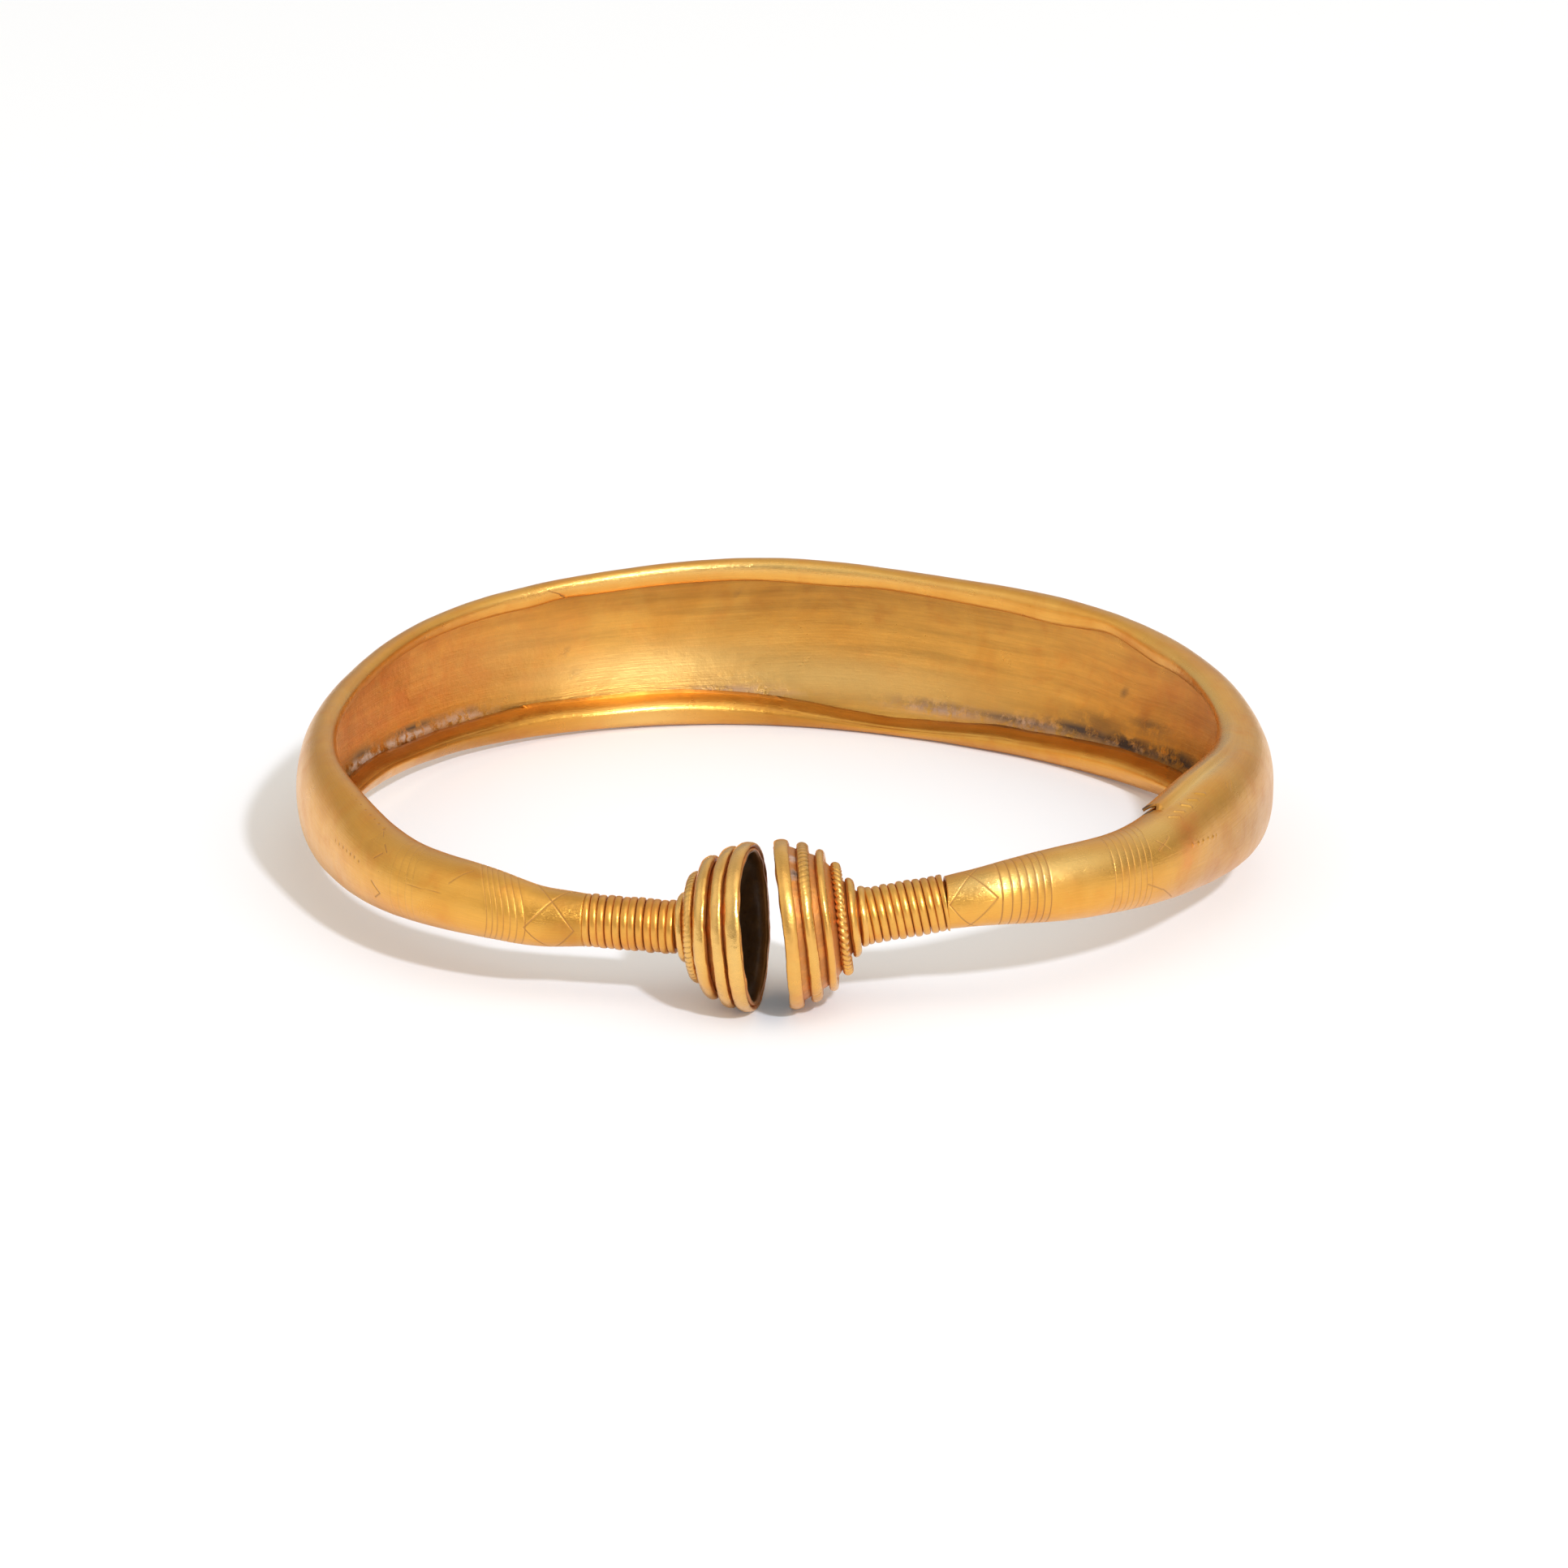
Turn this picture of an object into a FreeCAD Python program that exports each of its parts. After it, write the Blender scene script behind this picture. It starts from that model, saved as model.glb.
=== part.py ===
import FreeCAD, Part
import math
import os
from FreeCAD import Vector

# A gold torc: one hammered sheet rolled into a hoop, open to the inside behind the neck and closed
# to a tube towards the front, where a ringed cup stands on each end and wire binds each neck.
# The torc lies on the ground, z = 0, with its opening towards -Y, and the origin is the middle of
# the ground it covers. Millimetres throughout.

# Hoop
hoop_width = 140.0
hoop_length = 136.0
band_height = 28.5
side_depth = 11.0
sheet = 0.5
arm_diameter = 8.2
arm_mouth_diameter = 7.0
arm_mouth_length = 1.6
arm_straight = 5.5
arm_swell_diameter = 8.5
path_points = 33
sewing = 0.001

# Terminal cups, the same beaten bell on both sides
rim_diameter = 24.6
cup_depth = 12.6
cup_sheet = 0.45
stem_diameter = 5.7
stem_bore = 4.6
stem_tucked = 4.0
rim_ring_thickness = 0.95
ring_seat = 0.05
floor_thickness = 1.6

# Where the cups stand
rim_gap = 1.4
gap_aside = -1.7
left_front = 60.1
right_front = 58.4
left_turn_deg = 9.5
left_rise_deg = -0.6
right_turn_deg = 2.8
right_rise_deg = 7.8

# Neck bindings, each one wire wound round its stem
left_wire = 0.84
left_pitch = 1.28
left_turns = 8.6
right_wire = 0.94
right_pitch = 1.39
right_turns = 6.7
binding_seat = 0.05
binding_clearance = 0.25
least_wire_gap = 0.4

# The hoop's sections from the left arm round the back to the right arm. Each row has the middle of
# the section, as shares of half the hoop's width, half its length and the band's height, then the
# section's height as a share of the band's height and its depth as a share of the side's depth.
# The last three are no lengths: the angles of the lower and the upper lip, from 0 outwards through
# 90 upwards, and how square the section is (2 is an ellipse).
section_shares = [
    (-0.580, -0.766, 0.437, 0.344, 0.870, 131, 127, 2.0),
    (-0.810, -0.572, 0.453, 0.420, 0.870, 132, 127, 2.1),
    (-0.944, -0.331, 0.463, 0.555, 0.770, 140, 128, 2.3),
    (-0.990, -0.169, 0.470, 0.604, 0.720, 170, 130, 2.4),
    (-1.008, 0.015, 0.477, 0.635, 0.700, 204, 132, 2.5),
    (-0.957, 0.365, 0.477, 0.719, 0.630, 212, 134, 2.7),
    (-0.744, 0.759, 0.474, 0.849, 0.580, 214, 134, 2.9),
    (-0.394, 0.972, 0.481, 0.940, 0.590, 214, 134, 3.0),
    (-0.019, 1.004, 0.500, 1.000, 0.640, 214, 134, 3.0),
    (0.329, 0.897, 0.493, 0.982, 0.670, 214, 134, 3.0),
    (0.649, 0.701, 0.488, 0.968, 0.710, 214, 134, 2.9),
    (0.909, 0.362, 0.477, 0.835, 0.800, 212, 134, 2.7),
    (0.990, 0.015, 0.484, 0.646, 0.930, 204, 132, 2.5),
    (0.964, -0.162, 0.496, 0.618, 0.970, 170, 130, 2.4),
    (0.897, -0.343, 0.523, 0.589, 1.000, 140, 128, 2.3),
    (0.738, -0.622, 0.551, 0.430, 0.960, 132, 127, 2.1),
    (0.520, -0.795, 0.575, 0.337, 0.860, 131, 127, 2.0),
]
arm_lips_deg = (131, 126)

# The bell's outside from its mouth to its stem: shares of its depth, and of the way from the stem
# out to the mouth
bell_shares = [
    (0.000, 1.000),
    (0.175, 0.982),
    (0.365, 0.877),
    (0.571, 0.653),
    (0.746, 0.360),
    (0.889, 0.115),
    (1.000, 0.000),
]

# Wires laid round each bell: name, place along the bell as a share of its depth, then width and
# thickness as shares of the rim wire's width and thickness
rim_ring_width = 2.0
left_ring_shares = [
    ("rim_ring", 0.083, 1.00, 1.00),
    ("flat_ring", 0.270, 1.00, 1.25),
    ("thick_ring", 0.475, 1.15, 1.60),
    ("rope_ring", 0.675, 1.00, 1.70),
    ("step_ring", 0.880, 0.62, 1.30),
]
right_ring_shares = [
    ("rim_ring", 0.080, 1.00, 1.00),
    ("rope_ring", 0.320, 0.90, 1.30),
    ("plain_ring", 0.530, 0.68, 1.20),
    ("twist_ring", 0.700, 0.65, 1.30),
    ("step_ring", 0.840, 0.66, 1.20),
    ("collar_ring", 0.985, 0.60, 1.00),
]


class Terminal:
    """The line a cup stands on: from the middle of its mouth back along its stem into the arm."""

    def __init__(self, side, front, turn_deg, rise_deg):
        turn = math.radians(turn_deg)
        rise = math.radians(rise_deg)
        rim = rim_diameter / 2
        across = gap_aside + side * (rim_gap / 2 + rim * math.sin(turn))
        self.mouth = Vector(across, -front, rim * math.cos(rise))
        self.back = Vector(side * math.cos(turn), math.sin(turn), math.tan(rise))
        self.back.normalize()

    def point(self, along):
        return self.mouth + self.back * along

    def place(self, shape):
        """Carries a shape made along +X from the origin onto the terminal's line."""
        turned = FreeCAD.Rotation(Vector(1, 0, 0), self.back)
        shape.Placement = FreeCAD.Placement(self.mouth, turned)
        return shape


def sheet_path(middle, along, height, depth, lower_deg, upper_deg, squareness, inset):
    """Points of one thin C, square to the hoop's line, from its lower lip round to its upper lip."""
    up = Vector(0, 0, 1)
    outward = up.cross(along)
    outward.normalize()
    start = math.radians(lower_deg)
    sweep = math.radians(upper_deg + 360 - lower_deg)
    points = []
    for i in range(path_points):
        angle = start + sweep * i / (path_points - 1)
        across = math.cos(angle)
        upward = math.sin(angle)
        reach = (abs(across) ** squareness + abs(upward) ** squareness) ** (-1 / squareness)
        outwards = outward * (across * reach * (depth / 2 - inset))
        upwards = up * (upward * reach * (height / 2 - inset))
        points.append(middle + outwards + upwards)
    return points


def skin(paths):
    """The smooth face through a row of sheet paths, and its four edges: both lips and both ends."""
    surface = Part.BSplineSurface()
    surface.interpolate(paths)
    low_u, high_u, low_v, high_v = surface.bounds()
    edges = [
        surface.vIso(low_v).toShape(),
        surface.vIso(high_v).toShape(),
        surface.uIso(low_u).toShape(),
        surface.uIso(high_u).toShape(),
    ]
    return surface.toShape(), edges


def arm_sections(terminal, neck_end):
    """The arm's own sections from where it grips the stem back to where it starts to bend."""
    lower, upper = arm_lips_deg
    rows = [
        (neck_end, arm_mouth_diameter),
        (neck_end + arm_mouth_length, arm_diameter),
        (neck_end + arm_straight, arm_swell_diameter),
    ]
    return [(terminal.point(along), size, size, lower, upper, 2.0) for along, size in rows]


def hoop(left, right, left_neck_end, right_neck_end):
    """The whole sheet: an outer and an inner skin from neck to neck, joined along lips and ends."""
    sections = arm_sections(left, left_neck_end)
    for across, ahead, rise, height, depth, lower, upper, squareness in section_shares:
        middle = Vector(across * hoop_width / 2, ahead * hoop_length / 2, rise * band_height)
        tall = height * band_height
        deep = depth * side_depth
        sections.append((middle, tall, deep, lower, upper, squareness))
    sections += arm_sections(right, right_neck_end)[::-1]
    line = Part.BSplineCurve()
    line.interpolate(Points=[section[0] for section in sections])
    ways = [line.tangent(line.parameter(section[0]))[0] for section in sections]
    skins = []
    for inset in (0, sheet):
        paths = []
        for section, way in zip(sections, ways):
            paths.append(sheet_path(section[0], way, *section[1:], inset))
        skins.append(skin(paths))
    (outside, outer_edges), (inside, inner_edges) = skins
    joins = [Part.makeRuledSurface(a, b) for a, b in zip(outer_edges, inner_edges)]
    shell = Part.Shell([outside, inside] + joins)
    shell.sewShape()
    solid = Part.Solid(shell)
    solid.fix(sewing, sewing, sewing)
    return solid


def bell_point(share):
    """A point of the bell's outside: x along its axis from the mouth, y its radius."""
    along, out = share
    stem = stem_diameter / 2
    mouth = rim_diameter / 2 - rim_ring_thickness - ring_seat
    return Vector(along * cup_depth, stem + out * (mouth - stem), 0)


def bell_outside():
    curve = Part.BSplineCurve()
    curve.interpolate(Points=[bell_point(share) for share in bell_shares])
    return curve


def bell_normal(curve, parameter):
    """Square to the bell's outside, away from its axis."""
    along = curve.tangent(parameter)[0]
    return Vector(-along.y, along.x, 0)


def cup(terminal, neck_end):
    """The bell, its closed floor and the hollow stem that runs through the neck into the arm."""
    outside = bell_outside()
    inner_points = []
    for share in bell_shares[:-2]:
        point = bell_point(share)
        inner_points.append(point - bell_normal(outside, outside.parameter(point)) * cup_sheet)
    floor = Vector(cup_depth - floor_thickness, 0, 0)
    inner_points.append(Vector(floor.x - cup_sheet, stem_bore / 2 - cup_sheet, 0))
    inner_points.append(floor)
    inside = Part.BSplineCurve()
    inside.interpolate(Points=inner_points)
    stem_end = neck_end + stem_tucked
    bore = stem_bore / 2
    corners = [
        outside.EndPoint,
        Vector(stem_end, stem_diameter / 2, 0),
        Vector(stem_end, bore, 0),
        Vector(cup_depth, bore, 0),
        Vector(cup_depth, 0, 0),
        floor,
    ]
    edges = [outside.toShape()]
    edges += [Part.makeLine(a, b) for a, b in zip(corners, corners[1:])]
    edges += [inside.toShape(), Part.makeLine(inside.StartPoint, outside.StartPoint)]
    half = Part.Face(Part.Wire(Part.__sortEdges__(edges)))
    return terminal.place(half.revolve(Vector(0, 0, 0), Vector(1, 0, 0), 360))


class RingWire:
    """The cross-section of one wire on the bell: an oval seated on the wall and leaning with it."""

    def __init__(self, share, width_share, thickness_share):
        outside = bell_outside()
        self.width = width_share * rim_ring_width
        self.thickness = thickness_share * rim_ring_thickness
        along = share * cup_depth
        upright = Part.LineSegment(Vector(along, 0, 0), Vector(along, rim_diameter, 0))
        crossing = outside.intersectCC(upright)[0]
        seat = Vector(crossing.X, crossing.Y, 0)
        self.normal = bell_normal(outside, outside.parameter(seat))
        self.lengthwise = Vector(self.normal.y, -self.normal.x, 0)
        self.middle = seat + self.normal * (self.thickness / 2 + ring_seat)

    def back_end(self):
        """How far back from the mouth the wire reaches."""
        half_width = self.lengthwise.x * self.width / 2
        half_thickness = self.normal.x * self.thickness / 2
        return self.middle.x + math.hypot(half_width, half_thickness)

    def face(self):
        ends = [
            self.middle + self.lengthwise * (self.width / 2),
            self.middle + self.normal * (self.thickness / 2),
        ]
        if self.thickness > self.width:
            ends.reverse()
        return Part.Face(Part.Wire(Part.Ellipse(*ends, self.middle).toShape()))


def ring(terminal, wire):
    return terminal.place(wire.face().revolve(Vector(0, 0, 0), Vector(1, 0, 0), 360))


def arc_from(start, corner, end):
    """The circular arc that leaves start towards corner and arrives at end from it."""
    middle = (start + end) * 0.5
    half_chord = (end - start).Length / 2
    rise = (corner - middle).Length
    half_angle = math.atan2(rise, half_chord)
    summit = middle + (corner - middle) * (math.tan(half_angle / 2) / math.tan(half_angle))
    return Part.Arc(start, summit, end)


def biarc(start, start_way, end, end_way):
    """Two arcs that meet smoothly between two points of a coil."""
    chord = end - start
    ways = start_way + end_way
    spread = 2 * (1 - start_way.dot(end_way))
    reach = (math.sqrt(chord.dot(ways) ** 2 + spread * chord.dot(chord)) - chord.dot(ways)) / spread
    first_corner = start + start_way * reach
    last_corner = end - end_way * reach
    joint = (first_corner + last_corner) * 0.5
    return [arc_from(start, first_corner, joint), arc_from(joint, last_corner, end)]


def coil_route(start, radius, pitch, turns):
    """Points and directions of a coil round +X, a quarter turn apart."""
    steps = int(round(turns * 4))
    slope = pitch / (2 * math.pi)
    points = []
    ways = []
    for i in range(steps + 1):
        angle = i * math.pi / 2
        points.append(Vector(start + slope * angle, radius * math.cos(angle), radius * math.sin(angle)))
        way = Vector(slope, -radius * math.sin(angle), radius * math.cos(angle))
        way.normalize()
        ways.append(way)
    return points, ways


def least_gap(arcs, wire, samples=8):
    """The smallest clear space between the wire and itself, on points of its middle line."""
    points = []
    for arc in arcs:
        length = arc.LastParameter - arc.FirstParameter
        for i in range(samples):
            points.append(arc.value(arc.FirstParameter + length * i / samples))
    half_turn = samples * 4
    least = min(
        (points[i] - points[j]).Length
        for i in range(len(points))
        for j in range(i + half_turn, len(points))
    )
    return least - wire


def binding(name, terminal, neck_start, wire, pitch, turns):
    """The wire wound round a stem: arcs a quarter turn long, with a short straight end at each side."""
    radius = stem_diameter / 2 + binding_seat + wire / 2
    start = neck_start + binding_clearance + wire / 2
    points, ways = coil_route(start, radius, pitch, turns)
    arcs = []
    for i in range(len(points) - 1):
        arcs += biarc(points[i], ways[i], points[i + 1], ways[i + 1])
    lead_in = points[0] - ways[0] * wire
    lead_out = points[-1] + ways[-1] * wire
    edges = [Part.makeLine(lead_in, points[0])]
    edges += [arc.toShape() for arc in arcs]
    edges.append(Part.makeLine(points[-1], lead_out))
    path = Part.Wire(edges)
    end_circle = Part.Wire(Part.makeCircle(wire / 2, lead_in, ways[0]))
    tube = path.makePipeShell([end_circle], True, False)
    gap = least_gap(arcs, wire)
    section = math.pi * wire * wire / 4
    print(name, "least gap to itself", round(gap, 3), "mm")
    print(name, "volume over section times length", round(tube.Volume / (section * path.Length), 4))
    if gap <= least_wire_gap:
        print(name, "has turns closer than", least_wire_gap, "mm")
    return terminal.place(tube)


def binding_length(wire, pitch, turns):
    return turns * pitch + wire + 2 * binding_clearance


def ground_middle(shapes):
    """The middle of the ground that the whole torc covers."""
    box = FreeCAD.BoundBox()
    for shape in shapes:
        box.add(shape.optimalBoundingBox(False, False))
    return Vector(box.Center.x, box.Center.y, box.ZMin)


def build():
    left = Terminal(-1, left_front, left_turn_deg, left_rise_deg)
    right = Terminal(1, right_front, right_turn_deg, right_rise_deg)
    left_wires = {"left_" + name: RingWire(*shares) for name, *shares in left_ring_shares}
    right_wires = {"right_" + name: RingWire(*shares) for name, *shares in right_ring_shares}
    left_neck_start = max([cup_depth] + [wire.back_end() for wire in left_wires.values()])
    right_neck_start = max([cup_depth] + [wire.back_end() for wire in right_wires.values()])
    left_neck_end = left_neck_start + binding_length(left_wire, left_pitch, left_turns)
    right_neck_end = right_neck_start + binding_length(right_wire, right_pitch, right_turns)

    nodes = {"hoop": hoop(left, right, left_neck_end, right_neck_end)}
    nodes["left_cup"] = cup(left, left_neck_end)
    nodes["right_cup"] = cup(right, right_neck_end)
    for terminal, wires in ((left, left_wires), (right, right_wires)):
        for name, wire in wires.items():
            nodes[name] = ring(terminal, wire)
    nodes["left_binding"] = binding(
        "left_binding", left, left_neck_start, left_wire, left_pitch, left_turns
    )
    nodes["right_binding"] = binding(
        "right_binding", right, right_neck_start, right_wire, right_pitch, right_turns
    )

    middle = ground_middle(nodes.values())
    print("moved by", -middle)
    for name, shape in nodes.items():
        shape.translate(-middle)
        print(name, "volume", round(shape.Volume, 2), "valid", shape.isValid())
    return nodes


os.makedirs("parts", exist_ok=True)
for node, solid in build().items():
    solid.exportStep("parts/" + node + ".step")
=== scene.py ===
import math

import bmesh
import bpy
import numpy as np
from mathutils import Matrix, Vector, noise


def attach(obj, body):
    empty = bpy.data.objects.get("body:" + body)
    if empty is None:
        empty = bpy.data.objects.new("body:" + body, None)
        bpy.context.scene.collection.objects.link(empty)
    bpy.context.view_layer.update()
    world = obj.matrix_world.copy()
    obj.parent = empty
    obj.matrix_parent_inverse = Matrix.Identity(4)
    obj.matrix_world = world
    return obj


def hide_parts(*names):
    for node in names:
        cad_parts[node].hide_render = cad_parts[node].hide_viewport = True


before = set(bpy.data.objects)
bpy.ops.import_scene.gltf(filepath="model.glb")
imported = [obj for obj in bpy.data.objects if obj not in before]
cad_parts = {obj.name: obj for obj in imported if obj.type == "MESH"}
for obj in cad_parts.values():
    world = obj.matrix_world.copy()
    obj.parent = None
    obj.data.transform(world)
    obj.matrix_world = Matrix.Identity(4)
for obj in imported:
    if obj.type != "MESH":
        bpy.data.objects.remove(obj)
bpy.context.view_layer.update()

# A gold torc: a hammered sheet scored flat and rolled into a hoop, two ringed cups and two wire
# bindings. The maker's sizes are in millimetres, and each finished piece is brought to metres.

MM = 0.001
FULL_TURN = 2 * math.pi

# Hoop
HOOP_WIDTH = 140.0
HOOP_LENGTH = 136.0
BAND_HEIGHT = 28.5
SIDE_DEPTH = 11.0
SHEET = 0.5
SEAM_LOWER_DEG = 131
SEAM_UPPER_DEG = 126

# The straight end of each arm: how far from the neck's end, and how thick
ARM_ENDS = ((0.0, 7.75), (1.6, 8.05), (6.6, 8.85))

# Each row: the middle of the section, as shares of half the hoop's width, half its length and the
# band's height, its height as a share of the band's, its depth as a share of the side's, then the
# angles of its lower and upper lip, from 0 outwards through 90 upwards, and how square it is.
SECTION_SHARES = (
    (-0.580, -0.766, 0.452, 0.346, 0.870, 131, 127, 2.0),
    (-0.810, -0.572, 0.453, 0.420, 0.870, 132, 127, 2.1),
    (-0.938, -0.331, 0.466, 0.555, 0.770, 140, 128, 2.1),
    (-0.991, -0.169, 0.476, 0.606, 0.720, 170, 130, 2.1),
    (-1.012, 0.015, 0.484, 0.638, 0.700, 204, 132, 2.1),
    (-0.957, 0.365, 0.477, 0.719, 0.630, 210, 134, 2.2),
    (-0.744, 0.759, 0.474, 0.849, 0.580, 211, 134, 2.4),
    (-0.394, 0.972, 0.481, 0.940, 0.590, 209, 134, 2.5),
    (-0.019, 1.004, 0.500, 1.000, 0.640, 212, 134, 2.5),
    (0.329, 0.897, 0.493, 0.982, 0.670, 219, 134, 2.5),
    (0.652, 0.701, 0.490, 0.976, 0.710, 212, 134, 2.4),
    (0.915, 0.362, 0.481, 0.848, 0.800, 210, 134, 2.4),
    (0.994, 0.015, 0.486, 0.646, 0.930, 204, 132, 2.5),
    (0.967, -0.162, 0.498, 0.612, 0.970, 170, 130, 2.5),
    (0.897, -0.343, 0.523, 0.589, 1.000, 140, 128, 2.3),
    (0.738, -0.622, 0.551, 0.430, 0.960, 132, 127, 2.1),
    (0.520, -0.795, 0.588, 0.364, 0.870, 131, 127, 2.0),
)

# Cups
RIM_DIAMETER = 25.05
CUP_SHEET = 0.45
STEM_BORE = 4.6
RIM_WIRE = 0.95
FLOOR_THICKNESS = 1.6

# Where the torc's frame stands once it is settled on the ground
SETTLED = Vector((-0.0025, -0.0517, 0.0217))


class Spline:
    """The smooth curve through rows of numbers, each reached at its own knot."""

    def __init__(self, knots, rows):
        self.knots = np.array(knots, float)
        self.rows = np.array(rows, float)
        count = len(knots)
        bends = np.zeros((count, count))
        wanted = np.zeros_like(self.rows)
        bends[0, 0] = bends[-1, -1] = 1
        steps = np.diff(self.knots)
        rises = np.diff(self.rows, axis=0) / steps[:, None]
        for i in range(1, count - 1):
            bends[i, i - 1 : i + 2] = steps[i - 1], 2 * (steps[i - 1] + steps[i]), steps[i]
            wanted[i] = 6 * (rises[i] - rises[i - 1])
        self.bends = np.linalg.solve(bends, wanted)

    def at(self, where):
        """The numbers and their slopes at each place of an array."""
        last = len(self.knots) - 2
        i = np.clip(np.searchsorted(self.knots, where) - 1, 0, last)
        step = (self.knots[i + 1] - self.knots[i])[:, None]
        a = (self.knots[i + 1] - where)[:, None] / step
        b = 1 - a
        left, right = self.bends[i], self.bends[i + 1]
        values = a * self.rows[i] + b * self.rows[i + 1]
        values += ((a**3 - a) * left + (b**3 - b) * right) * step * step / 6
        slopes = (self.rows[i + 1] - self.rows[i]) / step
        slopes += ((1 - 3 * a * a) * left + (3 * b * b - 1) * right) * step / 6
        return values, slopes


class Terminal:
    """A cup on its neck: the middle of its mouth, its axis, its foot and where the arm begins."""

    def __init__(self, side, mouth, turn_deg, rise_deg, depth, arm_end, stem_diameter):
        turn, rise = math.radians(turn_deg), math.radians(rise_deg)
        self.side = side
        self.depth = depth
        self.mouth = Vector(mouth)
        self.back = Vector((side * math.cos(turn), math.sin(turn), math.tan(rise))).normalized()
        self.foot = self.mouth + self.back * depth
        self.arm_end = Vector(arm_end)
        self.neck = (self.arm_end - self.foot).normalized()
        self.neck_length = (self.arm_end - self.foot).length
        self.stem_radius = stem_diameter / 2


def placing(start, way):
    """Carries a shape made along +X from the origin to a start and a way, in metres."""
    turned = Vector((1, 0, 0)).rotation_difference(way).to_matrix().to_4x4()
    return Matrix.Scale(MM, 4) @ Matrix.Translation(start) @ turned


LEFT = Terminal(-1, (-4.33, -58.85, 12.50), 9.5, -3.9, 11.9, (-29.09, -54.78, 12.06), 6.0)
RIGHT = Terminal(1, (-0.20, -58.00, 12.47), 1.0, 6.3, 12.6, (23.55, -56.90, 15.56), 6.3)


def smooth(low, high, value):
    """0 below low, 1 above high, and an easy slope between."""
    share = np.clip((value - low) / (high - low), 0, 1)
    return share * share * (3 - 2 * share)


def hump(middle, reach, value):
    return np.exp(-(((value - middle) / reach) ** 2))


def rough(points, size, seed=0):
    """Smooth random heights from -1 to 1 at points, with bumps of about that size."""
    shift = Vector((seed * 17.3, seed * 5.1, seed * 9.7))
    return np.array([noise.noise(Vector(p) / size + shift) for p in points])


def points_of(bm):
    return np.array([v.co[:] for v in bm.verts])


def write_masks(bm, masks):
    for name, values in masks.items():
        layer = bm.verts.layers.float.new(name)
        for vert, value in zip(bm.verts, values):
            vert[layer] = float(value)


def finish_mesh(bm, name, material, node):
    """Makes the object of a finished mesh, and says what it is and stands for."""
    mesh = bpy.data.meshes.new(name)
    for face in bm.faces:
        face.smooth = True
    bm.to_mesh(mesh)
    bm.free()
    piece = bpy.data.objects.new(name, mesh)
    bpy.context.scene.collection.objects.link(piece)
    mesh.materials.append(material)
    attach(piece, "root")
    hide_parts(node)


# Finishes


class Nodes:
    """A node tree under construction: nodes are added by kind and joined by their sockets."""

    def __init__(self, tree):
        self.tree = tree

    def feed(self, socket, value):
        """Joins a socket to another node's output, or gives it a plain value."""
        if isinstance(value, bpy.types.NodeSocket):
            self.tree.links.new(value, socket)
        elif socket.type == "RGBA":
            socket.default_value = (*value, 1.0)
        else:
            socket.default_value = value

    def add(self, kind, inputs=None, **settings):
        node = self.tree.nodes.new(kind)
        for key, value in settings.items():
            setattr(node, key, value)
        for key, value in (inputs or {}).items():
            self.feed(node.inputs[key], value)
        return node

    def sum(self, operation, first, second, clamp=False):
        inputs = {0: first, 1: second}
        return self.add("ShaderNodeMath", inputs, operation=operation, use_clamp=clamp).outputs[0]


class Finish(Nodes):
    """The material of one finish."""

    def __init__(self, name):
        self.material = bpy.data.materials.new(name)
        self.material.use_nodes = True
        super().__init__(self.material.node_tree)
        self.shader = self.tree.nodes["Principled BSDF"]

    def grain(self, coordinates, scale, detail=3.0, roughness=0.55, distortion=0.0):
        inputs = {
            "Vector": coordinates,
            "Scale": scale,
            "Detail": detail,
            "Roughness": roughness,
            "Distortion": distortion,
        }
        return self.add("ShaderNodeTexNoise", inputs).outputs["Fac"]

    def stretched(self, coordinates, scale):
        return self.add("ShaderNodeMapping", {"Vector": coordinates, "Scale": scale}).outputs["Vector"]

    def ramp(self, factor, *stops):
        """A colour ramp, or a grey one where a stop is a plain number."""
        node = self.add("ShaderNodeValToRGB", {"Fac": factor})
        elements = node.color_ramp.elements
        for element, (place, colour) in zip(elements, stops):
            element.position = place
            if isinstance(colour, (int, float)):
                colour = (colour, colour, colour)
            element.color = (*colour, 1.0)
        return node.outputs["Color"]

    def mix(self, factor, under, over, blend="MIX"):
        inputs = {0: factor, 6: under, 7: over}
        return self.add("ShaderNodeMix", inputs, data_type="RGBA", blend_type=blend).outputs[2]

    def mask(self, name):
        return self.add("ShaderNodeAttribute", attribute_name=name).outputs["Fac"]

    def broken_mask(self, name, grain, *stops):
        """A mask broken up by a grain."""
        return self.sum("MULTIPLY", self.mask(name), self.ramp(grain, *stops))

    def bump(self, height, distance, strength, under=None):
        inputs = {"Height": height, "Distance": distance, "Strength": strength}
        if under is not None:
            inputs["Normal"] = under
        return self.add("ShaderNodeBump", inputs).outputs["Normal"]

    def set(self, **inputs):
        for key, value in inputs.items():
            self.feed(self.shader.inputs[key.replace("_", " ")], value)


# Tones of the gold, each as its main one, its deeper one and its redder one
SHEET_TONES = (0.90, 0.46, 0.080), (0.84, 0.39, 0.056), (0.84, 0.34, 0.050)
CUP_TONES = (0.84, 0.38, 0.060), (0.74, 0.29, 0.042), (0.78, 0.29, 0.045)
WIRE_TONES = (0.90, 0.48, 0.090), (0.84, 0.39, 0.060), (0.86, 0.36, 0.055)

# What wear, age and the ground have made of it, with painted highlights and painted shade
# Paler gold painted where highlights and reflections fall
PAINTED_HIGHLIGHT_GOLD = (0.93, 0.60, 0.19)
# Painted shade, in places also age: a darker tone multiplied in
PAINTED_SHADE_AND_AGE_TONE = (0.66, 0.61, 0.55)
COPPER_RED = (0.86, 0.30, 0.058)
SCORED_BROWN = (0.42, 0.18, 0.035)
# Dark brown over a cup's inside
CUP_INSIDE_BROWN = (0.13, 0.062, 0.016)
CRUST_GREY = (0.58, 0.37, 0.25)
# Soil, and painted shade in the open end of the strip
SOIL_AND_SHADE_BLACK = (0.085, 0.045, 0.024)

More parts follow.
